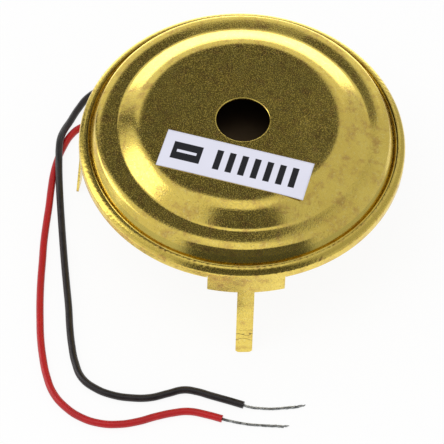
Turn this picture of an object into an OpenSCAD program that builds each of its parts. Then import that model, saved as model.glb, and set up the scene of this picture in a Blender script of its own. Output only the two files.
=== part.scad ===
// Piezo buzzer: a crimped brass can on three lanced legs, with two flying leads.
// The leg tips stand on z = 0 and the can's axis is the Z axis. Millimetres, +Z up.

/* [Case] */
// Outer diameter of the case wall
case_d = 41; // [38:0.5:44]
// Thickness of the case's brass sheet
case_sheet = 0.3; // [0.25:0.05:0.4]
// Height of the case, from the underside of its floor to the top of its curled lip
case_h = 2.2; // [2.1:0.1:3.2]
// Width of the lip curled in over the cover's flange
lip_w = 0.95; // [0.8:0.05:1.2]
// Outer radius of the bends at the wall's foot and head
case_bend = 0.6; // [0.45:0.05:0.7]

/* [Legs] */
// Directions of the three legs, anticlockwise from +X
leg_angles = [-87, 42, 171];
// Height of the floor's underside above the leg tips
leg_drop = 14.2; // [8:0.1:15]
// Width of a leg's shoulder, measured round the wall
shoulder_w = 9.6; // [6:0.2:12]
// Height of the shoulder below the floor's underside
shoulder_h = 2.1; // [1:0.1:3]
// Width of a leg's blade
leg_w = 2.1; // [1.5:0.1:3]
// Outward lean of a blade, in degrees
leg_splay = 4.5; // [0:0.5:8]
// Chamfer on the corners of a blade's tip
tip_chamfer = 0.3; // [0.1:0.05:0.6]
// Shear gap round a leg in the floor's blank
shear_gap = 0.1; // [0.05:0.05:0.2]
// Distance that a shoulder sits in from the wall's face
tab_set = 0.02; // [0.01:0.01:0.04]

/* [Cover] */
// Thickness of the cover's brass sheet
cover_sheet = 0.3; // [0.2:0.05:0.35]
// Diameter of the sound hole
hole_d = 6.65; // [4:0.05:9]
// Diameter of the flat top, measured to the corner its bend rounds
top_d = 25.6; // [20:0.1:26]
// Seam between the lip's edge and the foot of the cover's steep drop
seam_w = 0.3; // [0.2:0.05:0.4]
// Width of the steep drop, seen from above
drop_w = 0.9; // [0.6:0.05:1.1]
// Width of the step's crowned shoulder, seen from above
crown_w = 0.8; // [0.8:0.05:1.1]
// Fall of the crowned shoulder, in degrees
crown_angle = 24; // [15:1:25]
// Width of the step, seen from above, measured to the corner its bend rounds
step_w = 1.9; // [1.7:0.05:2.2]
// Height of the flat top above the flange
cover_h = 4; // [3.4:0.1:5]
// Drop from the flat top to the step
step_drop = 1.7; // [1.2:0.1:2]
// Bend radius at the flat top's edge
top_bend = 4.1; // [1:0.1:5]
// Bend radius in the crease
crease_bend = 0.4; // [0.2:0.05:0.6]
// Bend radius of the step's crowned shoulder
crown_bend = 3.2; // [1:0.1:3.3]
// Bend radius at the head of the steep drop
drop_bend = 0.35; // [0.35:0.01:0.4]
// Bend radius at the foot of the steep drop
foot_bend = 0.25; // [0.15:0.05:0.35]

/* [Piezo element] */
// Thickness of the brass diaphragm
diaphragm_t = 0.25; // [0.15:0.05:0.3]
// Diameter of the ceramic disc
ceramic_d = 25; // [20:0.5:25.5]
// Thickness of the ceramic disc
ceramic_t = 0.2; // [0.1:0.05:0.25]
// Thickness of the gasket between the cover's flange and the diaphragm
gasket_t = 0.25; // [0.15:0.05:0.3]
// Radial width of the gasket and of the support ring
seat_w = 1.2; // [0.8:0.1:1.6]
// Clearance between the case wall and what lies inside it
wall_gap = 0.1; // [0.05:0.05:0.2]

/* [Leads] */
// Outer diameter of a lead's insulation
lead_d = 0.95; // [0.7:0.05:1.1]
// Diameter of the twisted bare strands
strand_d = 0.36; // [0.2:0.02:0.5]
// Direction in which the leads leave the floor, anticlockwise from +X
lead_angle = 138; // [120:1:150]
// Distance between the two leads where they pass the grommet
lead_pitch = 2.2; // [2:0.1:2.4]
// Diameter of a solder joint
solder_d = 1.4; // [1:0.1:1.6]
// Height of a solder joint
solder_h = 0.3; // [0.2:0.05:0.35]
// Diameter of the floor's hole and of the grommet's neck
grommet_neck_d = 4.6; // [4.2:0.1:5]
// Width of the grommet's rims beyond its neck
grommet_rim = 0.6; // [0.4:0.1:0.8]
// Thickness of the grommet's rim inside the can
grommet_inner_t = 0.2; // [0.15:0.05:0.25]
// Thickness of the grommet's rim below the floor
grommet_outer_t = 0.9; // [0.5:0.1:1.4]
// Radial clearance of a lead in the grommet
lead_gap = 0.05; // [0.02:0.01:0.08]

/* [Label] */
// Length of the label
label_l = 18.7; // [14:0.1:19]
// Width of the label
label_w = 5.6; // [3:0.1:6]
// Thickness of the label
label_t = 0.1; // [0.05:0.01:0.2]
// Distance from the can's axis to the label's middle
label_r = 7; // [6.8:0.1:7.4]
// Direction of the label's middle, anticlockwise from +X
label_angle = -96.5; // [-110:0.5:-80]
// Turn of the label, anticlockwise seen from above
label_turn = -14; // [-20:1:20]

/* [Hidden] */
$fn = 96;
// Straight pieces that make up one rounded bend
bend_steps = 8;
// Overlap that makes a cut run clear through, or a joined shape fuse
over = 0.5;

case_r = case_d / 2;
floor_z = leg_drop;
floor_top = floor_z + case_sheet;
lip_top = floor_z + case_h;
lip_r = case_r - lip_w;
// The slits beside a leg's shoulder end just above the bend at the wall's foot
slit_top = floor_z + case_bend + shear_gap;
inside_r = case_r - case_sheet - wall_gap;

// The cover's flange lies under the lip, and the diaphragm hangs below it on the gasket
flange_top = lip_top - case_sheet;
cover_top = flange_top + cover_h;
foot_r = lip_r - seam_w;
drop_r = foot_r - drop_w;
step_r = drop_r - crown_w;
crease_r = step_r - step_w;
step_top = cover_top - step_drop;
drop_top = step_top - crown_w * tan(crown_angle);
gasket_top = flange_top - cover_sheet;
diaphragm_top = gasket_top - gasket_t;
diaphragm_z = diaphragm_top - diaphragm_t;
ceramic_z = diaphragm_z - ceramic_t;
// The lip's bend starts where the flange ends, and the rings keep clear of the floor's bend
flange_r = case_r - case_bend;
seat_r = flange_r - wall_gap;

// Blanks of the legs in the floor, before they are bent down
shoulder_sweep = sweep_of(shoulder_w);
blank_sweep = sweep_of(shoulder_w + 2 * shear_gap);
shoulder_r = case_r - case_bend - shoulder_h;
shoulder_z = floor_z - shoulder_h;
tab_r = case_r - tab_set;
blade_l = (shoulder_z - case_sheet / 2 * sin(leg_splay)) / cos(leg_splay);
blank_r = shoulder_r - blade_l;

// The joints lie on either side of the ceramic disc's edge
red_r = (ceramic_d - lead_pitch) / 2;
black_r = red_r + lead_pitch;
grommet_r = ceramic_d / 2;
grommet_z = floor_z - grommet_outer_t;
grommet_top = floor_top + grommet_inner_t;
exit_dir = [cos(lead_angle), sin(lead_angle), 0];
red_exit = red_r * exit_dir;
black_exit = black_r * exit_dir;
up = [0, 0, 1];

// Routes of the leads on the board, from below the grommet to the bare ends.
// The black lead crosses over the red one beside the can.
red_route = [[-9.8, 8.8, 9], [-13, 11.2, 4.4], [-17.2, 13.3, 1.3], [-21.4, 12.5, 0.5], [-23.4, 9.3, 0.5],
    [-24.4, 5, 0.5], [-24.7, -0.5, 0.5], [-25, -6, 0.5], [-25, -12, 0.5], [-24.7, -18, 0.5],
    [-24, -23.5, 0.5], [-22.3, -28.8, 0.5], [-18.7, -32.1, 0.5], [-14, -33, 0.5], [-9.5, -31.6, 0.5],
    [-5.5, -30.7, 0.5], [-1.3, -31.6, 0.5]];
black_route = [[-11.3, 10.8, 9], [-14, 15, 4.5], [-17.3, 18.7, 1.6], [-20.6, 17.6, 0.6], [-22.8, 13.2, 0.8],
    [-23.8, 10, 1.45], [-23.8, 6.5, 1.5], [-23.5, 2.5, 0.8], [-22.9, -3, 0.5], [-22.1, -9.5, 0.5],
    [-21.2, -16, 0.5], [-20.5, -21.5, 0.5], [-18.9, -26.4, 0.5], [-15, -28.7, 0.5], [-10.3, -28.9, 0.5],
    [-6.2, -27.6, 0.5], [-2.8, -28.3, 0.5], [1.3, -29.5, 0.5]];
red_bare = [[2.4, -32.2, 0.35], [7, -32.2, 0.2]];
black_bare = [[5, -29.8, 0.35], [9, -29.1, 0.2]];
// Corners of a lead's section and of a strand's
lead_sides = 8;

brass = [0.72, 0.58, 0.2];
inner_brass = [0.66, 0.5, 0.2];

// Angle that a length measured round the wall takes up
function sweep_of(length) = length / case_r * 180 / PI;

// --- Sheet sections -----------------------------------------------------------------

function unit(v) = v / norm(v);
function turn_of(a, b, c) = cross(unit(b - a), unit(c - b));
// Left-hand normal of the line from a to b
function normal_of(a, b) = let (d = unit(b - a)) [-d.y, d.x];
// Corner b of a line moved t to its left
function moved_corner(a, b, c, t) =
    let (n = normal_of(a, b), m = normal_of(b, c)) b + t * (n + m) / (1 + n * m);
// Points of the arc of radius r that rounds corner b
function bend(a, b, c, r) =
    let (u = unit(a - b), v = unit(c - b),
        half = acos(u * v) / 2,
        centre = b + r / sin(half) * unit(u + v),
        side = turn_of(a, b, c) < 0 ? -1 : 1,
        first = b + r / tan(half) * u - centre,
        sweep = 180 - 2 * half)
    [for (i = [0 : bend_steps])
        let (w = side * sweep * i / bend_steps)
        centre + [first.x * cos(w) - first.y * sin(w), first.x * sin(w) + first.y * cos(w)]];
// A line of points with each inner corner rounded by its own radius
function rounded(points, radii) =
    let (last = len(points) - 1)
    [points[0],
        for (i = [1 : last - 1]) each bend(points[i - 1], points[i], points[i + 1], radii[i - 1]),
        points[last]];
// The same line moved t to its left, with each bend kept concentric
function moved(points, t) =
    let (last = len(points) - 1)
    [points[0] + t * normal_of(points[0], points[1]),
        for (i = [1 : last - 1]) moved_corner(points[i - 1], points[i], points[i + 1], t),
        points[last] + t * normal_of(points[last - 1], points[last])];
function moved_radii(points, radii, t) =
    [for (i = [0 : len(radii) - 1])
        radii[i] - t * sign(turn_of(points[i], points[i + 1], points[i + 2]))];

// Section of a bent sheet: a line of corners, with the sheet's thickness t to its left
module sheet_section(points, radii, t) {
    near_face = rounded(points, radii);
    far_face = rounded(moved(points, t), moved_radii(points, radii, t));
    polygon(concat(near_face, [for (i = [len(far_face) - 1 : -1 : 0]) far_face[i]]));
}

// --- Tubes along a route ------------------------------------------------------------

// Point at the middle of b and c on the smooth line through a, b, c and d
function midway(a, b, c, d) = (9 * (b + c) - a - d) / 16;
// The route with a point added halfway along each stretch
function smooth(p) =
    let (last = len(p) - 1)
    [for (i = [0 : last - 1])
        each [p[i], midway(p[max(i - 1, 0)], p[i], p[i + 1], p[min(i + 2, last)])],
        p[last]];
function heading(p, i) = unit(p[min(i + 1, len(p) - 1)] - p[max(i - 1, 0)]);

// Closed tube of diameter d swept along the points p
module tube(p, d) {
    sides = lead_sides;
    rings = len(p);
    corners = [for (i = [0 : rings - 1])
        let (h = heading(p, i),
            across = unit(cross(h, abs(h.z) > 0.8 ? exit_dir : up)),
            away = cross(h, across))
        for (k = [0 : sides - 1])
            let (w = 360 * (k + 0.5) / sides) p[i] + d / 2 * (cos(w) * across + sin(w) * away)];
    walls = [for (i = [0 : rings - 2], k = [0 : sides - 1])
        let (j = (k + 1) % sides)
        each [[i * sides + k, (i + 1) * sides + k, (i + 1) * sides + j],
            [i * sides + k, (i + 1) * sides + j, i * sides + j]]];
    first_end = [for (k = [0 : sides - 1]) k];
    last_end = [for (k = [sides - 1 : -1 : 0]) (rings - 1) * sides + k];
    polyhedron(corners, concat(walls, [first_end, last_end]));
}

// Whole line of a lead: up from the grommet to the solder joint, then out along the route
function lead_line(exit, joint_z, route) =
    concat([exit + joint_z * up, exit + grommet_z * up], smooth(concat([exit + (grommet_z - 1) * up], route)));
// Line of the bare strands: straight out of the insulation, then on to the tip
function bare_line(route, tip) =
    let (last = len(route) - 1, end = route[last], prior = smooth(route)[2 * last - 1])
    concat([end, end + unit(end - prior)], tip);

// --- Pieces -------------------------------------------------------------------------

// Upper pressing: flat top with the sound hole, a slope, a crowned step, a steep drop and a flange
module cover() {
    color(brass)
        rotate_extrude()
            sheet_section([[flange_r, flange_top], [foot_r, flange_top], [drop_r, drop_top],
                [step_r, step_top], [crease_r, step_top], [top_d / 2, cover_top], [hole_d / 2, cover_top]],
                [foot_bend, drop_bend, crown_bend, crease_bend, top_bend], cover_sheet);
}

// Plan of one leg's blank: the shoulder's sector and the blade's slot, cut from the floor
module leg_blank() {
    rotate([0, 0, -blank_sweep / 2])
        rotate_extrude(angle = blank_sweep)
            polygon([[shoulder_r, floor_z - over], [case_r + over, floor_z - over],
                [case_r + over, slit_top], [shoulder_r, slit_top]]);
    translate([blank_r, -leg_w / 2 - shear_gap, floor_z - over])
        cube([shoulder_r + case_sheet - blank_r, leg_w + 2 * shear_gap, case_sheet + 2 * over]);
}

// The legs' shoulders as bent down: sectors of a ring that carries on the wall, set in by a hair
module shoulders() {
    reach = case_r + over;
    side = reach * tan(shoulder_sweep / 2);
    intersection() {
        rotate_extrude()
            translate([tab_r - case_sheet, shoulder_z])
                square([case_sheet, slit_top + case_sheet - shoulder_z]);
        for (a = leg_angles)
            rotate([0, 0, a])
                translate([0, 0, shoulder_z - over])
                    linear_extrude(slit_top + case_sheet + 2 * over - shoulder_z)
                        polygon([[0, 0], [reach, -side], [reach, side]]);
    }
}

// One leg's flat blade, leaning outward
module blade() {
    translate([tab_r - case_sheet / 2, 0, shoulder_z])
        rotate([90, 0, -90])
            rotate([leg_splay, 0, 0])
                translate([0, 0, -case_sheet / 2])
                    linear_extrude(case_sheet)
                        polygon([[-leg_w / 2, case_sheet], [-leg_w / 2, tip_chamfer - blade_l],
                            [tip_chamfer - leg_w / 2, -blade_l], [leg_w / 2 - tip_chamfer, -blade_l],
                            [leg_w / 2, tip_chamfer - blade_l], [leg_w / 2, case_sheet]]);
}

// Lower pressing: floor, wall, the lip curled over the cover, and three legs lanced from the floor
module case() {
    color(brass) {
        difference() {
            rotate_extrude()
                sheet_section([[0, floor_z], [case_r, floor_z], [case_r, lip_top], [lip_r, lip_top]],
                    [case_bend, case_bend], case_sheet);
            for (a = leg_angles)
                rotate([0, 0, a]) leg_blank();
            translate([grommet_r * exit_dir.x, grommet_r * exit_dir.y, floor_z - over])
                cylinder(d = grommet_neck_d, h = case_sheet + 2 * over);
        }
        shoulders();
        for (a = leg_angles)
            rotate([0, 0, a]) blade();
    }
}

// Flat ring centred on the can's axis
module ring(outer_r, inner_r, z, t) {
    translate([0, 0, z])
        difference() {
            cylinder(r = outer_r, h = t);
            translate([0, 0, -over]) cylinder(r = inner_r, h = t + 2 * over);
        }
}

// Gasket pressed between the cover's flange and the diaphragm
module gasket() {
    color([0.2, 0.2, 0.2])
        ring(seat_r, seat_r - seat_w, diaphragm_top, gasket_t);
}

// Sound plate of the piezo element, held by its edge
module diaphragm() {
    color(inner_brass)
        translate([0, 0, diaphragm_z])
            cylinder(r = inside_r, h = diaphragm_t);
}

// Piezo ceramic under the diaphragm
module ceramic_disc() {
    color([0.85, 0.83, 0.76])
        translate([0, 0, ceramic_z])
            cylinder(d = ceramic_d, h = ceramic_t);
}

// Ring that carries the diaphragm's edge on the floor
module support_ring() {
    color([0.85, 0.85, 0.82])
        ring(seat_r, seat_r - seat_w, floor_top, diaphragm_z - floor_top);
}

// One joint: a cone of solder from the face at height z down to the lead's end
module solder(exit, z) {
    translate([exit.x, exit.y, z - solder_h])
        cylinder(d1 = lead_d, d2 = solder_d, h = solder_h);
}

// The red lead's joint on the ceramic disc, and the black lead's on the diaphragm
module solder_joints() {
    color([0.75, 0.75, 0.77]) {
        solder(red_exit, ceramic_z);
        solder(black_exit, diaphragm_z);
    }
}

// Grommet clipped into the floor, with a bore for each lead
module lead_grommet() {
    color([0.12, 0.12, 0.12])
        difference() {
            translate([grommet_r * exit_dir.x, grommet_r * exit_dir.y, 0]) {
                translate([0, 0, grommet_z])
                    cylinder(d = grommet_neck_d + 2 * grommet_rim, h = grommet_outer_t);
                translate([0, 0, grommet_z]) cylinder(d = grommet_neck_d, h = grommet_top - grommet_z);
                translate([0, 0, floor_top])
                    cylinder(d = grommet_neck_d + 2 * grommet_rim, h = grommet_inner_t);
            }
            for (exit = [red_exit, black_exit])
                translate([exit.x, exit.y, grommet_z - over])
                    cylinder(d = lead_d + 2 * lead_gap, h = grommet_top - grommet_z + 2 * over);
        }
}

// Insulated leads
module red_lead() {
    color([0.75, 0.12, 0.1])
        tube(lead_line(red_exit, ceramic_z - solder_h, red_route), lead_d);
}

module black_lead() {
    color([0.13, 0.12, 0.12])
        tube(lead_line(black_exit, diaphragm_z - solder_h, black_route), lead_d);
}

// Bare twisted strands at the leads' ends
module red_strands() {
    color([0.68, 0.68, 0.68])
        tube(bare_line(red_route, red_bare), strand_d);
}

module black_strands() {
    color([0.68, 0.68, 0.68])
        tube(bare_line(black_route, black_bare), strand_d);
}

// Paper label stuck on the flat top beside the sound hole
module label() {
    color([0.9, 0.9, 0.94])
        translate([label_r * cos(label_angle), label_r * sin(label_angle), cover_top])
            rotate([0, 0, label_turn])
                translate([-label_l / 2, -label_w / 2, 0])
                    cube([label_l, label_w, label_t]);
}

cover();
case();
gasket();
diaphragm();
ceramic_disc();
support_ring();
solder_joints();
lead_grommet();
red_lead();
black_lead();
red_strands();
black_strands();
label();
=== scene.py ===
import math
import bmesh
import bpy
import numpy as np
from mathutils import Matrix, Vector
from mathutils.geometry import delaunay_2d_cdt


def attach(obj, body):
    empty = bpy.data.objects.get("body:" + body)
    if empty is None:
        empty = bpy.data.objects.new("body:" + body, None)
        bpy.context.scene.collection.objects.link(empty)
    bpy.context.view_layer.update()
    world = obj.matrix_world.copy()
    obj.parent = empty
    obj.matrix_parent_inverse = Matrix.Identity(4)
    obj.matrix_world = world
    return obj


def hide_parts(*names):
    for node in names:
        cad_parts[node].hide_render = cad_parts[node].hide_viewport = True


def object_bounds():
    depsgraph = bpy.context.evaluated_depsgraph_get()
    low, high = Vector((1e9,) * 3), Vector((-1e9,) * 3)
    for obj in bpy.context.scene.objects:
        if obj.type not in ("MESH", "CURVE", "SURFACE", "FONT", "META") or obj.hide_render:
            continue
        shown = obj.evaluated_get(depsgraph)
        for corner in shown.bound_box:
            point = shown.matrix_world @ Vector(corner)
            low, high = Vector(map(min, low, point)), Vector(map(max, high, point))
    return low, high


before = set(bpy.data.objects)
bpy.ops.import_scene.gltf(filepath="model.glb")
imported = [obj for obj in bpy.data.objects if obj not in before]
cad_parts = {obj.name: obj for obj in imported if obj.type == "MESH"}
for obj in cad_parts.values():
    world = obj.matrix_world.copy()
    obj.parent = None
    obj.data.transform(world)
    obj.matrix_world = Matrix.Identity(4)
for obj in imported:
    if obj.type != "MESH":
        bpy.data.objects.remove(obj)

cad_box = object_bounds()
MM = 0.001

# ---------------------------------------------------------------------------------
# Camera: a long lens above and in front of the buzzer, rolled by two degrees. It aims
# a little below and to the left of the middle of the can's top.
view_drop = math.radians(54.92)
view_roll = math.radians(2.0)
view_range, aim_left, aim_below = 350, 2.616, 12.733
top_middle = np.array([0, 0, 20.1])
ahead = np.array([0, math.cos(view_drop), -math.sin(view_drop)])
across = np.array([math.cos(view_roll), math.sin(view_roll) * math.sin(view_drop),
                   math.sin(view_roll) * math.cos(view_drop)])
upward = np.array([-math.sin(view_roll), math.cos(view_roll) * math.sin(view_drop),
                   math.cos(view_roll) * math.cos(view_drop)])
place = (top_middle - aim_left * across - aim_below * upward - view_range * ahead) * MM
camera = bpy.data.objects.new("camera", bpy.data.cameras.new("camera"))
camera.data.lens = 228.4
camera.data.clip_start = 0.01
camera.matrix_world = Matrix([[across[i], upward[i], -ahead[i], place[i]] for i in range(3)]
                             + [[0, 0, 0, 1]])
bpy.context.scene.collection.objects.link(camera)
bpy.context.scene.camera = camera
bpy.context.scene.view_settings.view_transform = "Standard"


# ---------------------------------------------------------------------------------
# Two hook-up leads: a stranded copper core in a thin semi-gloss vinyl jacket, cut
# square. Each rises through the floor grommet to its solder joint, and lies loose
# on the board, the black one over the red one beside the can.
lead_d = 0.95
exit_turn = math.radians(138)
exit_z = 13.3
red_reach, black_reach = 11.4, 13.6
red_joint_z, black_joint_z = 14.8, 15.0
# The solid leads are eight-sided, so the round jackets keep this much further inside their box.
jacket_inset = np.array([0.015, 0.065, 0.045])
red_route = [[-9.8, 8.8, 9], [-13, 11.2, 4.4], [-17.2, 13.3, 1.3], [-21.4, 12.5, 0.5],
             [-23.4, 9.3, 0.5], [-24.4, 5, 0.5], [-24.7, -0.5, 0.5], [-25, -6, 0.5],
             [-25, -12, 0.5], [-24.7, -18, 0.5], [-24, -23.5, 0.5], [-22.3, -28.8, 0.5],
             [-18.7, -32.1, 0.5], [-14, -33, 0.5], [-9.5, -31.6, 0.5], [-5.5, -30.7, 0.5],
             [-1.3, -31.6, 0.5]]
black_route = [[-11.3, 10.8, 9], [-14, 15, 4.5], [-17.3, 18.7, 1.6], [-20.6, 17.6, 0.6],
               [-22.8, 13.2, 0.8], [-23.8, 10, 1.45], [-23.8, 6.5, 1.5], [-23.5, 2.5, 0.8],
               [-22.9, -3, 0.5], [-22.1, -9.5, 0.5], [-21.2, -16, 0.5], [-20.5, -21.5, 0.5],
               [-18.9, -26.4, 0.5], [-15, -28.7, 0.5], [-10.3, -28.9, 0.5], [-6.2, -27.6, 0.5],
               [-2.8, -28.3, 0.5], [1.3, -29.5, 0.5]]


def smooth_route(points):
    """Adds the middle of each stretch b-c, at (9 (b + c) - a - d) / 16, a and d being the
    points before and after it."""
    p = np.array(points, float)
    before = np.vstack([p[:1], p[:-2]])
    after = np.vstack([p[2:], p[-1:]])
    middle = (9 * (p[:-1] + p[1:]) - before - after) / 16
    line = np.empty((2 * len(p) - 1, 3))
    line[0::2], line[1::2] = p, middle
    return line


def lead_line(reach, joint_z, route):
    """The joint, the grommet's mouth, 1 mm of straight drop, and then the route. Gives the
    line and the mouth."""
    below_joint = np.array([reach * math.cos(exit_turn), reach * math.sin(exit_turn), 0])
    mouth = below_joint + [0, 0, exit_z]
    line = np.vstack([below_joint + [0, 0, joint_z], mouth,
                      smooth_route(np.vstack([mouth - [0, 0, 1], route]))])
    return np.maximum(line, np.array(cad_box[0]) / MM + lead_d / 2 + jacket_inset), mouth


def node(tree, kind, inputs=(), **settings):
    """Adds a node; inputs maps a socket's name or number to a value or to an output socket."""
    made = tree.nodes.new(kind)
    for key, value in settings.items():
        setattr(made, key, value)
    for key, value in dict(inputs).items():
        if isinstance(value, bpy.types.NodeSocket):
            tree.links.new(value, made.inputs[key])
        else:
            made.inputs[key].default_value = value
    return made


def noise(tree, at, scale, detail, roughness=0.5):
    """Noise from 0 to 1, about 0.5 on average, with scale patches to the metre."""
    return node(tree, "ShaderNodeTexNoise", {"Vector": at, "Scale": scale, "Detail": detail,
                                             "Roughness": roughness}).outputs["Fac"]


# Mottle: slow patches that mix two tints and two gloss levels, and a fine grain for
# the bump's height. Every finish of the buzzer takes it with its own scales.
mottle = bpy.data.node_groups.new("mottle", "ShaderNodeTree")
for title, kind, start in (("Tint", "NodeSocketColor", (0.8, 0.8, 0.8, 1)),
                           ("Second tint", "NodeSocketColor", (0.7, 0.7, 0.7, 1)),
                           ("Patches per metre", "NodeSocketFloat", 300.0),
                           ("Grains per metre", "NodeSocketFloat", 6000.0),
                           ("Roughness", "NodeSocketFloat", 0.3),
                           ("Second roughness", "NodeSocketFloat", 0.4)):
    socket = mottle.interface.new_socket(title, in_out="INPUT", socket_type=kind)
    socket.default_value = start
for title, kind in (("Color", "NodeSocketColor"), ("Roughness", "NodeSocketFloat"),
                    ("Height", "NodeSocketFloat")):
    mottle.interface.new_socket(title, in_out="OUTPUT", socket_type=kind)
given = node(mottle, "NodeGroupInput").outputs
at = node(mottle, "ShaderNodeTexCoord").outputs["Object"]
patch = node(mottle, "ShaderNodeMapRange", {
    "Value": noise(mottle, at, given["Patches per metre"], 3.0),
    "From Min": 0.3, "From Max": 0.7}).outputs["Result"]
tint = node(mottle, "ShaderNodeMix", {0: patch, 6: given["Tint"], 7: given["Second tint"]},
            data_type="RGBA")
gloss = node(mottle, "ShaderNodeMapRange", {"Value": patch, "To Min": given["Roughness"],
                                            "To Max": given["Second roughness"]})
node(mottle, "NodeGroupOutput", {"Color": tint.outputs[2], "Roughness": gloss.outputs["Result"],
                                 "Height": noise(mottle, at, given["Grains per metre"], 2.0)})


def finish_of(name, tint, second, patches, grains, rough, second_rough, depth, metallic=0.0):
    """A material whose colour, gloss and grain come from the mottle; depth is the grain's
    height in metres. Gives the material, its tree, shader, mottle and bump."""
    made = bpy.data.materials.new(name)
    made.use_nodes = True
    tree = made.node_tree
    shader = tree.nodes["Principled BSDF"]
    shader.inputs["Metallic"].default_value = metallic
    mix = node(tree, "ShaderNodeGroup", {
        "Tint": (*tint, 1), "Second tint": (*second, 1), "Patches per metre": patches,
        "Grains per metre": grains, "Roughness": rough, "Second roughness": second_rough},
        node_tree=mottle)
    bump = node(tree, "ShaderNodeBump", {"Height": mix.outputs["Height"], "Distance": depth})
    tree.links.new(mix.outputs["Color"], shader.inputs["Base Color"])
    tree.links.new(mix.outputs["Roughness"], shader.inputs["Roughness"])
    tree.links.new(bump.outputs["Normal"], shader.inputs["Normal"])
    return made, tree, shader, mix, bump


def lead(name, line, finish):
    """A round jacket: one open curve through the points of the line, with square-cut ends."""
    curve = bpy.data.curves.new(name, "CURVE")
    curve.dimensions = "3D"
    curve.bevel_depth = lead_d / 2 * MM
    curve.bevel_resolution = 5
    curve.resolution_u = 8
    curve.use_fill_caps = True
    curve.materials.append(finish)
    spline = curve.splines.new("BEZIER")
    spline.bezier_points.add(len(line) - 1)
    spline.bezier_points.foreach_set("co", (line * MM).ravel())
    for knot in spline.bezier_points:
        knot.handle_left_type = knot.handle_right_type = "AUTO"
    made = bpy.data.objects.new(name, curve)
    bpy.context.scene.collection.objects.link(made)
    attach(made, "root")
    return made


red_vinyl = finish_of("red_vinyl", (0.50, 0.009, 0.011), (0.41, 0.007, 0.009), 500, 9000,
                      0.26, 0.38, 6e-6)[0]
black_vinyl = finish_of("black_vinyl", (0.011, 0.009, 0.010), (0.020, 0.016, 0.016), 900, 9000,
                        0.3, 0.45, 8e-6)[0]
red_line, red_exit = lead_line(red_reach, red_joint_z, red_route)
black_line, black_exit = lead_line(black_reach, black_joint_z, black_route)
red_jacket = lead("red_jacket", red_line, red_vinyl)
black_jacket = lead("black_jacket", black_line, black_vinyl)
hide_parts("red_lead")
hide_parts("black_lead")


# ---------------------------------------------------------------------------------
# Bare ends: seven tinned copper wires in each lead, twisted together and left
# unsoldered, so they work loose towards the tip.
wire_d = 0.12
lay_length = 2.6
wire_sides, wire_rings = 8, 90
# Rings by which each wire ends short of the longest; the last wire is the core.
cut_short = (0, 9, 4, 16, 7, 12, 2)
# Share of the bare end that stays tight, and the least gap under a wire.
tight_share, wire_lift = 0.45, 0.005
red_tip = [[2.4, -32.2, 0.35], [7, -32.2, 0.2]]
black_tip = [[5, -29.8, 0.35], [9, -29.1, 0.2]]


def fine_line(points, count):
    """The smooth route through the points, halved until it is fine, and then spaced evenly."""
    line = np.array(points, float)
    for _ in range(4):
        line = smooth_route(line)
    run = np.concatenate([[0], np.cumsum(np.linalg.norm(np.diff(line, axis=0), axis=1))])
    s = np.linspace(0, run[-1], count)
    return s, np.stack([np.interp(s, run, line[:, k]) for k in range(3)], axis=1)


def sides_along(line):
    """Unit vectors across a nearly level line of heading h: the side z x h, and h x side."""
    h = np.gradient(line, axis=0)
    h /= np.linalg.norm(h, axis=1, keepdims=True)
    side = np.cross([0, 0, 1.0], h)
    side /= np.linalg.norm(side, axis=1, keepdims=True)
    return side, np.cross(h, side)


def grid_faces(rows, cols, closed):
    """Corners of the four-sided cells of a rows x cols grid; closed joins its last column to
    its first."""
    i, j = np.meshgrid(np.arange(rows - 1), np.arange(cols if closed else cols - 1),
                       indexing="ij")
    k = (j + 1) % cols
    corners = [i * cols + j, (i + 1) * cols + j, (i + 1) * cols + k, i * cols + k]
    return np.stack(corners, -1).reshape(-1, 4)


def mesh_piece(name, points, faces, finishes, corner_uv=None):
    """A smooth mesh object from arrays in millimetres, with an optional UV for each corner."""
    made = bpy.data.meshes.new(name)
    made.from_pydata((np.asarray(points) * MM).tolist(), [], [list(f) for f in faces])
    for finish in finishes:
        made.materials.append(finish)
    if corner_uv is not None:
        flat_uv = np.asarray(corner_uv, np.float32).ravel()
        made.uv_layers.new(name="along").data.foreach_set("uv", flat_uv)
    made.polygons.foreach_set("use_smooth", [True] * len(made.polygons))
    made.update()
    piece = bpy.data.objects.new(name, made)
    bpy.context.scene.collection.objects.link(piece)
    return piece


def bare_end(name, route, tip, loosen):
    """Seven wires: a core, and six at the distance d (1 + loosen q^2) from the line and at the
    angle 2 pi s / lay + 60 k degrees round it. s is the length along the line, and q rises
    from 0 to 1 over its loose part."""
    route = np.array(route, float)
    heading = route[-1] - smooth_route(route)[-2]
    heading /= np.linalg.norm(heading)
    s, line = fine_line(np.vstack([route[-1], route[-1] + heading, tip]), wire_rings)
    side, over = sides_along(line)
    q = np.clip((s / s[-1] - tight_share) / (1 - tight_share), 0, 1)
    ring = np.arange(wire_sides) * 2 * math.pi / wire_sides
    points, faces, count = [], [], 0
    for k, short in enumerate(cut_short):
        core = line.copy()
        if k < len(loosen):
            turn = 2 * math.pi * s / lay_length + k * math.pi / 3
            off = wire_d * (1 + loosen[k] * q ** 2)
            core += (off * np.cos(turn))[:, None] * side + (off * np.sin(turn))[:, None] * over
        rings = wire_rings - short
        core = core[:rings]
        core[:, 2] = np.maximum(core[:, 2], wire_d / 2 + wire_lift)
        a, b = sides_along(core)
        tube = core[:, None, :] + wire_d / 2 * (np.cos(ring)[None, :, None] * a[:, None, :]
                                                + np.sin(ring)[None, :, None] * b[:, None, :])
        points.append(tube.reshape(-1, 3))
        faces += (grid_faces(rings, wire_sides, True)[:, ::-1] + count).tolist()
        first, last = count, count + (rings - 1) * wire_sides
        faces += [list(range(first, first + wire_sides)),
                  list(reversed(range(last, last + wire_sides)))]
        count += rings * wire_sides
    piece = mesh_piece(name, np.vstack(points), faces, [tinned])
    shape = bmesh.new()
    shape.from_mesh(piece.data)
    bmesh.ops.recalc_face_normals(shape, faces=shape.faces)
    shape.to_mesh(piece.data)
    shape.free()
    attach(piece, "root")
    return piece


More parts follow.
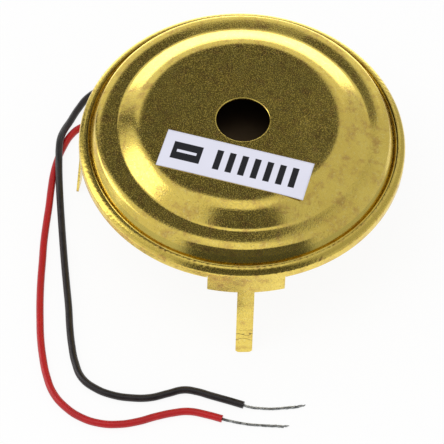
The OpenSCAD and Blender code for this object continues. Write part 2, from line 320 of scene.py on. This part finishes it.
# The wires' near-black second tint is painted shade between the twisted strands, in patches along
# them.
tinned = finish_of("tinned_wire", (0.95, 0.97, 0.97), (0.05, 0.055, 0.05), 1500, 12000,
                   0.2, 0.4, 3e-6, 1.0)[0]
red_wires = bare_end("red_wires", red_route, red_tip, (0.1, 0.3, 0.1, 0.6, 0.2, 0.4))
black_wires = bare_end("black_wires", black_route, black_tip, (0.1, 0.8, 0.2, 1.2, 0.1, 0.5))
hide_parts("red_strands")
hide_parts("black_strands")


# ---------------------------------------------------------------------------------
# Cover: the upper pressing, in bright rolled brass sheet. A flat top with the sound
# hole, a slope, a crowned step, a steep drop and a flange that the case's lip holds.
sheet = 0.3
case_r = 20.5
hole_r, top_z = 3.325, 20.1
flange_run = 0.65
cover_corners = [[hole_r, top_z], [12.8, top_z], [15.65, 18.4], [17.55, 18.4], [18.35, 18.044],
                 [19.25, 16.1], [19.25 + flange_run, 16.1]]
cover_bends = [4.1, 1.1, 3.2, 0.35, 0.25]
wave_height = 0.012
step_lean = math.tan(math.radians(4.5))


def bent_section(corners, radii, arc_step=4.0, run_step=0.6):
    """The line of corners in (r, z), with corner b rounded by an arc of radius q that starts
    q tan(turn / 2) before b. Has a point every arc_step degrees and every run_step mm."""
    c = np.array(corners, float)
    parts, last = [], c[0]
    for b, a, d, q in zip(c[1:-1], c[:-2], c[2:], radii):
        u, v = (b - a) / np.linalg.norm(b - a), (d - b) / np.linalg.norm(d - b)
        turn = math.atan2(u[0] * v[1] - u[1] * v[0], u @ v)
        cut = q * math.tan(abs(turn) / 2)
        first = b - cut * u
        run = max(2, int(np.linalg.norm(first - last) / run_step) + 2)
        parts.append(last + np.linspace(0, 1, run)[:-1, None] * (first - last))
        w = np.linspace(0, turn, max(3, int(abs(math.degrees(turn)) / arc_step) + 2))[:-1, None]
        inward = math.copysign(1, turn) * np.array([-u[1], u[0]])
        parts.append(first + q * (np.sin(np.abs(w)) * u + (1 - np.cos(w)) * inward))
        last = b + cut * v
    run = max(2, int(np.linalg.norm(c[-1] - last) / run_step) + 2)
    parts.append(last + np.linspace(0, 1, run)[:, None] * (c[-1] - last))
    return np.vstack(parts)


def turned(section, angles):
    """Points (r cos a, r sin a, z) of a section in (r, z) carried round the axis."""
    r, z = section[:, :1], section[:, 1:]
    return np.stack([r * np.cos(angles), r * np.sin(angles), z + 0 * angles], -1)


def run_along(section):
    """Length along the section from its first point to each of its points."""
    steps = np.linalg.norm(np.diff(section, axis=0), axis=1)
    return np.concatenate([[0], np.cumsum(steps)])


def ring_uv(section, angles):
    """UV in millimetres for each corner of a closed grid: round the wall, and down the section."""
    run = run_along(section)
    i, j = np.meshgrid(np.arange(len(section) - 1), np.arange(len(angles)), indexing="ij")
    ends = np.append(angles, angles[0] + 2 * math.pi) * case_r
    u = np.stack([ends[j], ends[j], ends[j + 1], ends[j + 1]], -1)
    v = np.stack([run[i], run[i + 1], run[i + 1], run[i]], -1)
    return np.stack([u, v], -1).reshape(-1, 4, 2)


def sheet_wall(piece, bevel):
    """Gives a surface the sheet's thickness on its inner side, and breaks the cut edges."""
    wall = piece.modifiers.new("sheet", "SOLIDIFY")
    wall.thickness = sheet * MM
    wall.offset = -1
    wall.use_even_offset = True
    edge = piece.modifiers.new("edges", "BEVEL")
    edge.width = bevel * MM
    edge.segments = 2
    edge.limit_method = "ANGLE"
    edge.angle_limit = math.radians(50)
    edge.harden_normals = True


def maths(tree, a, b=0.0, operation="MULTIPLY"):
    """The product of two values or masks, or what another operation makes of them."""
    return node(tree, "ShaderNodeMath", {0: a, 1: b}, operation=operation).outputs[0]


def laid_on(tree, below, mask, shade):
    """The colour below, with a shade laid on it where the mask is 1."""
    return node(tree, "ShaderNodeMix", {0: mask, 6: below, 7: (*shade, 1)},
                data_type="RGBA").outputs[2]


def step_mask(tree, value, low, high, most=1.0):
    """Rises from 0 at low to most at high."""
    return node(tree, "ShaderNodeMapRange", {"Value": value, "From Min": low, "From Max": high,
                                             "To Max": most}).outputs[0]


def brass_finish(name, gloss, painted_shade_bands, tick_depth):
    """Rolled brass of roughness gloss, with fine matte specks, small brown stains and light
    flecks. Each shade band is painted shade: a darker colour laid between two distances down
    the section (the UV's second axis, in mm). Above the floor, slanting press ticks 0.8 mm
    apart and tick_depth metres high go round the wall. Gives the material, tree, shader, colour and
    coordinates."""
    made, tree, shader, mix, bump = finish_of(name, (0.94, 0.73, 0.16), (0.86, 0.64, 0.13),
                                              260, 5600, gloss, gloss + 0.06, 0.9e-5, 1.0)
    at = node(tree, "ShaderNodeTexCoord").outputs["Object"]
    specks = step_mask(tree, noise(tree, at, 8200.0, 2.0, 0.75), 0.54, 0.62)
    stain = noise(tree, at, 700.0, 4.0, 0.7)
    flecks = step_mask(tree, noise(tree, at, 3000.0, 2.0, 0.8), 0.56, 0.72, 0.5)
    tree.links.new(maths(tree, mix.outputs["Roughness"], maths(tree, specks, 0.36), "ADD"),
                   shader.inputs["Roughness"])
    colour = laid_on(tree, mix.outputs["Color"], maths(tree, specks, 0.3), (0.45, 0.31, 0.06))
    colour = laid_on(tree, colour, step_mask(tree, stain, 0.50, 0.68, 0.7), (0.56, 0.33, 0.10))
    colour = laid_on(tree, colour, flecks, (1.0, 0.88, 0.36))
    map_uv = node(tree, "ShaderNodeUVMap", uv_map="along").outputs["UV"]
    along = node(tree, "ShaderNodeSeparateXYZ", {0: map_uv}).outputs
    # Painted shade: each band darkens the colour between two distances down the section.
    for low, high, shade in painted_shade_bands:
        painted_shade_mask = maths(tree, step_mask(tree, along["Y"], low, low + 0.12, 0.9),
                          step_mask(tree, along["Y"], high, high - 0.08))
        colour = laid_on(tree, colour, painted_shade_mask, shade)
    tree.links.new(colour, shader.inputs["Base Color"])
    slant = maths(tree, along["X"], maths(tree, along["Y"], 0.9), "ADD")
    wave = maths(tree, maths(tree, slant, 2 * math.pi / 0.8), operation="SINE")
    height = node(tree, "ShaderNodeSeparateXYZ", {0: at}).outputs["Z"]
    patchy = maths(tree, step_mask(tree, stain, 0.42, 0.6), step_mask(tree, height, 0.0146, 0.0150))
    ticks = node(tree, "ShaderNodeBump", {"Height": maths(tree, wave, patchy),
                                          "Distance": tick_depth,
                                          "Normal": bump.outputs["Normal"]})
    tree.links.new(ticks.outputs["Normal"], shader.inputs["Normal"])
    return made, tree, shader, colour, at


cover_angles = np.linspace(-math.pi, math.pi, 361)[:-1]
cover_section = bent_section(cover_corners, cover_bends)
# Painted shade: a darker olive band at the foot of the drop beside the lip, and a painted shadow in
# dark brown on the flange under the lip.
seam_at = float(run_along(cover_section)[-1] - flange_run)
cover_brass = brass_finish("cover_brass", 0.07,
                           [(seam_at - 1.25, seam_at - 0.04, (0.66, 0.53, 0.12)),
                            (seam_at + 0.12, 99.0, (0.10, 0.065, 0.02))], 0.0)[0]
cover_points = turned(cover_section, cover_angles)
# Slow unevenness of the pressing: low waves of third, fifth and seventh order round the axis,
# that die out at the seam and at the hole.
around, radius = np.meshgrid(cover_angles, cover_section[:, 0])
ease = np.clip((19.2 - radius) / 1.5, 0, 1) * np.clip((radius - 3.3) / 3, 0, 1)
cover_points[:, :, 2] += ease * wave_height * (np.sin(3 * around + 0.5 * radius)
                                               + 0.7 * np.sin(5 * around - 0.8 * radius)
                                               + 0.5 * np.sin(7 * around + 1.1 * radius + 2))
# The step was not pressed quite level: at the back and at the right it leans outward by about
# 4.5 degrees over 1.3 mm, and the offset fades out again over the crown. The bearing is 0 at
# the front and rises towards the right.
bearing = (np.degrees(around) + 90 + 180) % 360 - 180
lean = np.clip((bearing - 8) / 22, 0, 1) * np.clip((100 - bearing) / 14, 0, 1) \
    + np.clip((np.abs(bearing) - 138) / 22, 0, 1)
lean = lean * lean * (3 - 2 * lean)
fall = np.clip(radius - 15.75, 0, 1.3) * step_lean
cover_points[:, :, 2] -= lean * fall * np.clip((18.7 - radius) / 1.4, 0, 1)
cover = mesh_piece("cover_pressing", cover_points.reshape(-1, 3),
                   grid_faces(len(cover_section), len(cover_angles), True), [cover_brass],
                   ring_uv(cover_section, cover_angles))
sheet_wall(cover, 0.14)
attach(cover, "root")
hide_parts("cover")


# ---------------------------------------------------------------------------------
# Case: the lower pressing in the same brass. Its wall is curled in over the cover's
# flange, and three shouldered legs are lanced from its floor and bent down in line
# with the wall.
floor_z, case_bend, lip_r, lip_top, lip_bend = 14.2, 0.6, 19.55, 16.4, 0.93
leg_turns = [-87, 42, 171]
slit_top, shoulder_z, shoulder_in = 14.9, 12.1, 17.8
blank_r, slot_half = 5.68, 1.15
shoulder_half, blank_half = math.radians(13.42), math.radians(13.7)
blade_w, chamfer, tip_z = 2.1, 0.3, 0.0236
blade_half = blade_w / 2 / case_r
splay = math.tan(math.radians(4.5))
grommet_reach, grommet_hole_r = 12.5, 2.3
# Length down the section from the lip's edge to the slits, and on to the shoulder's foot.
slit_run = 2.05
shoulder_run = slit_run + slit_top - shoulder_z
# Cells across a shear gap, half a shoulder, a blade, and so on to the plain wall after a leg.
leg_cells = (1, 12, 8, 12, 1, 96)
blank_cells = sum(leg_cells[:-1])


def columns():
    """Angles round the wall, from the first leg's blank on, evenly spaced between the borders
    of each blank, shoulder and blade. Also gives the zone of the cell after each angle: 0 is
    plain wall, 1 a shear gap, 2 a shoulder and 3 a blade."""
    angles, zone = [], []
    for k, turn in enumerate(leg_turns):
        mid = math.radians(turn)
        nxt = math.radians(leg_turns[(k + 1) % 3]) + (2 * math.pi if k == 2 else 0)
        edges = [mid - blank_half, mid - shoulder_half, mid - blade_half, mid + blade_half,
                 mid + shoulder_half, mid + blank_half, nxt - blank_half]
        for a, b, n, what in zip(edges, edges[1:], leg_cells, (1, 2, 3, 2, 1, 0)):
            angles.append(np.linspace(a, b, n + 1)[:-1])
            zone.append(np.full(n, what))
    return np.concatenate(angles), np.concatenate(zone)


case_angles, zone = columns()
upper = bent_section([[lip_r, lip_top], [case_r, lip_top], [case_r, slit_top]], [lip_bend], 6, 0.4)
lower = bent_section([[case_r, slit_top], [case_r, floor_z], [case_r - case_bend, floor_z]],
                     [case_bend - 1e-6], 8, 0.5)[:-1]
shoulder = np.stack([np.full(6, case_r), np.linspace(slit_top, shoulder_z, 6)], 1)
down = np.concatenate([np.linspace(shoulder_z, 1.0, 16), [0.6, tip_z + chamfer, tip_z]])
blade = np.stack([case_r + (shoulder_z - down) * splay, down], 1)
points, faces, uv, count = [], [], [], 0
# UV runs on down from the lip's edge, from one grid to the next.
for section, keep, above in ((upper, zone >= 0, 0), (lower, zone == 0, slit_run),
                             (shoulder, zone >= 2, slit_run), (blade, zone == 3, shoulder_run)):
    grid = turned(section, case_angles)
    if section is blade:
        # The blade keeps its width as it leans out, and its tip's corners are cut off.
        width = np.where(down <= tip_z + 1e-9, 1 - chamfer / (blade_w / 2), 1.0)
        slim = width * case_r / section[:, 0]
        for turn in leg_turns:
            mid = math.radians(turn)
            off = (case_angles - mid + math.pi) % (2 * math.pi) - math.pi
            near = np.abs(off) <= blade_half + 1e-9
            a = mid + off[None, near] * slim[:, None]
            grid[:, near, 0] = section[:, :1] * np.cos(a)
            grid[:, near, 1] = section[:, :1] * np.sin(a)
    chosen = np.tile(keep, len(section) - 1)
    points.append(grid.reshape(-1, 3))
    faces += (grid_faces(len(section), len(case_angles), True)[chosen] + count).tolist()
    uv.append((ring_uv(section, case_angles)[chosen] + [0, above]).reshape(-1, 2))
    count += len(points[-1])

# Floor: the flat between the bends, with the legs' blanks and the grommet's hole left out.
# Its outline goes round each blank, and then along the free edge to the next one.
rim = []
per_leg = sum(leg_cells)
slot_open = math.asin(slot_half / shoulder_in)
for k, turn in enumerate(leg_turns):
    mid = math.radians(turn)
    side = np.array([-math.sin(mid), math.cos(mid)])
    out = np.array([math.cos(mid), math.sin(mid)])
    free = case_angles[np.arange(k * per_leg + blank_cells, (k + 1) * per_leg + 1)
                       % len(case_angles)]
    for a, reach in ((np.linspace(mid - blank_half, mid - slot_open, 10), shoulder_in),
                     (None, blank_r),
                     (np.linspace(mid + slot_open, mid + blank_half, 10), shoulder_in),
                     (free, case_r - case_bend)):
        if a is None:
            rim.append(np.array([out * reach - side * slot_half, out * reach + side * slot_half]))
        else:
            rim.append(np.stack([np.cos(a), np.sin(a)], 1) * reach)
rim = np.vstack(rim)
a = np.linspace(0, 2 * math.pi, 49)[:-1]
hole = np.stack([grommet_reach * math.cos(exit_turn) + grommet_hole_r * np.cos(a),
                 grommet_reach * math.sin(exit_turn) + grommet_hole_r * np.sin(a)], 1)


def loop_edges(first, count):
    """Pairs of neighbours round a closed loop of count points."""
    return [(first + i, first + (i + 1) % count) for i in range(count)]


def inside(points, outline):
    """Even-odd rule: counts the outline's edges crossed by a ray from each point towards +x."""
    a, b = outline, np.roll(outline, -1, axis=0)
    x, y = points[:, :1], points[:, 1:]
    span = (a[:, 1] > y) != (b[:, 1] > y)
    with np.errstate(divide="ignore", invalid="ignore"):
        cross = a[:, 0] + (y - a[:, 1]) * (b[:, 0] - a[:, 0]) / (b[:, 1] - a[:, 1])
    return (span & (x < cross)).sum(1) % 2 == 1


filled = delaunay_2d_cdt([tuple(map(float, p)) for p in np.vstack([rim, hole])],
                         loop_edges(0, len(rim)) + loop_edges(len(rim), len(hole)), [], 0, 1e-7)
flat = np.array([tuple(p) for p in filled[0]])
tri = np.array(filled[2])
centre = flat[tri].mean(1)
tri = tri[inside(centre, rim) & ~inside(centre, hole)][:, ::-1]
# The floor's UV lies far below the wall's, clear of its painted shade band.
points.append(np.column_stack([flat, np.full(len(flat), floor_z)]))
faces += (tri + count).tolist()
uv.append(flat[tri.ravel()] + [0, 100])

# Painted shade: a darker band laid round the curl of the lip.
case_brass, tree, shader, colour, at = brass_finish(
    "case_brass", 0.15, [(0.30, 0.90, (0.66, 0.50, 0.10))], 7e-6)
# Three wavy scratches low on the blades, 3.1 to 5.6 mm up, where a clip has held them.
height = node(tree, "ShaderNodeSeparateXYZ", {0: at}).outputs["Z"]
level = maths(tree, maths(tree, height, 1000.0), maths(tree, noise(tree, at, 900.0, 1.0), 1.8),
              "ADD")
beat = maths(tree, level, 0.9, "MODULO")
scored = maths(tree, maths(tree, step_mask(tree, beat, 0.15, 0.09),
                           step_mask(tree, level, 3.1, 3.3)),
               step_mask(tree, level, 5.6, 5.4, 0.85))
tree.links.new(laid_on(tree, colour, scored, (0.20, 0.13, 0.03)), shader.inputs["Base Color"])
case = mesh_piece("case_pressing", np.vstack(points), faces, [case_brass], np.vstack(uv))
shape = bmesh.new()
shape.from_mesh(case.data)
bmesh.ops.remove_doubles(shape, verts=shape.verts, dist=2e-6)
bmesh.ops.delete(shape, geom=[v for v in shape.verts if not v.link_faces], context="VERTS")
shape.to_mesh(case.data)
shape.free()
sheet_wall(case, 0.05)
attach(case, "root")
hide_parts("case")


# ---------------------------------------------------------------------------------
# Label: white coated paper stuck on the flat top, with a plain pattern of printed
# bars. Its far corner reaches past the flat and hangs free over the slope.
label_l, label_w, label_t = 18.7, 5.6, 0.1
label_reach, label_top, flat_reach, droop = 7, 20.198, 11.9, 0.05
label_at = math.radians(-96.5)
label_turn = math.radians(-14)
ink_edge = 0.03
u, v = np.meshgrid(np.linspace(0, label_l, 76), np.linspace(0, label_w, 24))
x, y = u - label_l / 2, v - label_w / 2
label_x = label_reach * math.cos(label_at) + x * math.cos(label_turn) - y * math.sin(label_turn)
label_y = label_reach * math.sin(label_at) + x * math.sin(label_turn) + y * math.cos(label_turn)
past_flat = np.clip(np.hypot(label_x, label_y) - flat_reach, 0, None)
label_z = label_top - droop * past_flat ** 1.5
label_faces = grid_faces(*u.shape, False)[:, ::-1]
paper, tree, shader, mix, _ = finish_of("label_paper", (0.76, 0.76, 0.87), (0.73, 0.73, 0.84),
                                        250, 5000, 0.6, 0.7, 4e-6)
shader.inputs["Specular IOR Level"].default_value = 0.25


def band(tree, value, low, high, soft, ease="LINEAR"):
    """1 between low and high, easing to 0 over soft outside them."""
    rise = node(tree, "ShaderNodeMapRange", {"Value": value, "From Min": low - soft,
                                             "From Max": low}, interpolation_type=ease)
    fall = node(tree, "ShaderNodeMapRange", {"Value": value, "From Min": high,
                                             "From Max": high + soft, "To Min": 1.0,
                                             "To Max": 0.0}, interpolation_type=ease)
    return maths(tree, rise.outputs[0], fall.outputs[0])


def printed(value, low, high):
    """Ink between two distances in mm, with a slightly soft edge."""
    return band(tree, value, low + ink_edge / 2, high - ink_edge / 2, ink_edge)


# Printed bars: a block with a light stripe at the left, then a row of upright bars.
map_uv = node(tree, "ShaderNodeUVMap", uv_map="along").outputs["UV"]
label_uv = node(tree, "ShaderNodeSeparateXYZ", {0: map_uv}).outputs
along, up = label_uv["X"], label_uv["Y"]
block = maths(tree, maths(tree, printed(along, 1.3, 5.0), printed(up, 1.5, 4.1)),
              maths(tree, printed(along, 1.9, 4.4), printed(up, 2.6, 3.0)), "SUBTRACT")
bars = maths(tree, printed(maths(tree, along, 1.6, "MODULO"), 0.35, 1.15),
             maths(tree, printed(along, 6.3, 17.4), printed(up, 1.3, 4.3)))
ink = node(tree, "ShaderNodeMath", {0: block, 1: bars}, operation="MAXIMUM", use_clamp=True)
tree.links.new(laid_on(tree, mix.outputs["Color"], ink.outputs[0], (0.012, 0.012, 0.016)),
               shader.inputs["Base Color"])
label = mesh_piece("label_sheet", np.stack([label_x, label_y, label_z], -1).reshape(-1, 3),
                   label_faces, [paper], np.stack([u, v], -1).reshape(-1, 2)[label_faces.ravel()])
wall = label.modifiers.new("thickness", "SOLIDIFY")
wall.thickness = label_t * MM
wall.offset = -1
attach(label, "root")
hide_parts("label")


# ---------------------------------------------------------------------------------
# Inside the can: the piezo element's brass plate and ceramic, clamped between a
# rubber gasket and a plastic ring, with two solder joints, and the leads' grommet.
inner = {
    # The plate's brass is painted dark brown: painted shade for the inside of the can.
    "diaphragm": finish_of("plate_brass", (0.16, 0.11, 0.06), (0.11, 0.075, 0.045), 260, 6000,
                           0.42, 0.55, 5e-6, 1.0),
    "ceramic_disc": finish_of("piezo_ceramic", (0.72, 0.70, 0.62), (0.64, 0.62, 0.55), 300, 9000,
                              0.5, 0.65, 8e-6),
    "gasket": finish_of("gasket_rubber", (0.045, 0.045, 0.045), (0.06, 0.058, 0.056), 400, 5000,
                        0.7, 0.85, 2e-5),
    "support_ring": finish_of("ring_plastic", (0.74, 0.74, 0.70), (0.70, 0.70, 0.66), 300, 4000,
                              0.45, 0.6, 1e-5),
    "solder_joints": finish_of("solder", (0.66, 0.66, 0.68), (0.52, 0.52, 0.54), 1500, 9000,
                               0.22, 0.4, 1e-5, 1.0),
    "lead_grommet": finish_of("grommet_rubber", (0.028, 0.028, 0.028), (0.04, 0.039, 0.038),
                              500, 5000, 0.55, 0.7, 2e-5),
}
for name, made in inner.items():
    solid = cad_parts[name]
    solid.data.materials.clear()
    solid.data.materials.append(made[0])


# ---------------------------------------------------------------------------------
# Table: a pale round sweep of board that fades into the white surround at its edge.
floor_span, table_z = 52.0, -0.01
table_rings, table_sides = 24, 96
r = np.linspace(0.02, floor_span, table_rings)
table_points = turned(np.stack([r, np.full(table_rings, table_z)], 1),
                      np.linspace(0, 2 * math.pi, table_sides + 1)[:-1])
table = mesh_piece("table", table_points.reshape(-1, 3),
                   grid_faces(table_rings, table_sides, True), [])
table_finish = bpy.data.materials.new("table")
table_finish.use_nodes = True
tree = table_finish.node_tree
tree.nodes.remove(tree.nodes["Principled BSDF"])
path = node(tree, "ShaderNodeLightPath").outputs
at = node(tree, "ShaderNodeTexCoord").outputs["Object"]
away = node(tree, "ShaderNodeVectorMath", {0: at}, operation="LENGTH").outputs["Value"]
fade = node(tree, "ShaderNodeMapRange", {"Value": away, "From Min": 0.037, "From Max": 0.050},
            interpolation_type="SMOOTHSTEP")
paint = node(tree, "ShaderNodeBsdfDiffuse", {"Color": (0.93, 0.93, 0.93, 1)})
glow = node(tree, "ShaderNodeEmission", {"Color": (1, 1, 1, 1), "Strength": 1.0})
# The eye and the bright brass see mostly plain white; soft light and shadow fall on the paint.
seen = maths(tree, maths(tree, path["Is Camera Ray"], 0.9),
             maths(tree, path["Is Glossy Ray"], 0.75), "MAXIMUM")
share = maths(tree, seen, fade.outputs["Result"], "MAXIMUM")
blend = node(tree, "ShaderNodeMixShader", {0: share, 1: paint.outputs[0], 2: glow.outputs[0]})
tree.links.new(blend.outputs[0], tree.nodes["Material Output"].inputs["Surface"])
table.data.materials.append(table_finish)


# ---------------------------------------------------------------------------------
# Studio: a broad soft lamp above, a plain white surround for the eye, an even soft
# level for matt surfaces, and for bright metal six plain grey and white pieces.
lamp = bpy.data.objects.new("lamp", bpy.data.lights.new("lamp", "AREA"))
lamp.data.shape = "DISK"
lamp.data.size = 0.30
lamp.data.energy = 0.5
lamp.location = (-0.14, -0.12, 0.42)
lamp.rotation_euler = (math.radians(16), math.radians(-18), 0)
lamp.visible_glossy = False
bpy.context.scene.collection.objects.link(lamp)

world = bpy.data.worlds.new("studio")
bpy.context.scene.world = world
world.use_nodes = True
tree = world.node_tree
tree.nodes.clear()
path = node(tree, "ShaderNodeLightPath").outputs
way = node(tree, "ShaderNodeTexCoord").outputs["Generated"]
way = node(tree, "ShaderNodeSeparateXYZ", {0: way}).outputs
rise = maths(tree, maths(tree, way["Z"], operation="ARCSINE"), operation="DEGREES")
bearing = maths(tree, maths(tree, way["X"], way["Y"], "ARCTAN2"), operation="DEGREES")

room = node(tree, "ShaderNodeRGB").outputs[0]
room.default_value = (0.08, 0.08, 0.08, 1)
# Plain grey and white studio pieces, as bright metal sees them: lowest and highest bearing
# from the back towards the right, lowest and highest rise, soft edge, in degrees, and level.
for west, east, low, high, soft, white in (
        (-180, 180, 77, 95, 8, 0.9),    # soft box overhead
        (16, 130, -40, 72, 10, 0.55),   # grey card at the right
        (-142, -60, -40, 76, 10, 0.7),  # grey card at the left
        (-94, -70, -10, 48, 8, 2.4),    # soft box in front of it
        (-40, 28, -50, 34, 10, 0.75),   # grey card at the back
        (-30, 26, -50, 8, 8, 2.4)):     # soft box low in front of it
    mask = maths(tree, band(tree, bearing, west, east, soft, "SMOOTHSTEP"),
                 band(tree, rise, low, high, soft, "SMOOTHSTEP"))
    room = laid_on(tree, room, mask, (white, white, white))

shiny = maths(tree, path["Is Glossy Ray"], path["Is Transmission Ray"], "MAXIMUM")
level = node(tree, "ShaderNodeMix", {0: shiny, 6: (0.8, 0.8, 0.8, 1), 7: room}, data_type="RGBA")
shown = laid_on(tree, level.outputs[2], path["Is Camera Ray"], (1, 1, 1))
sky = node(tree, "ShaderNodeBackground", {"Color": shown, "Strength": 1.0})
tree.links.new(sky.outputs[0], node(tree, "ShaderNodeOutputWorld").inputs["Surface"])
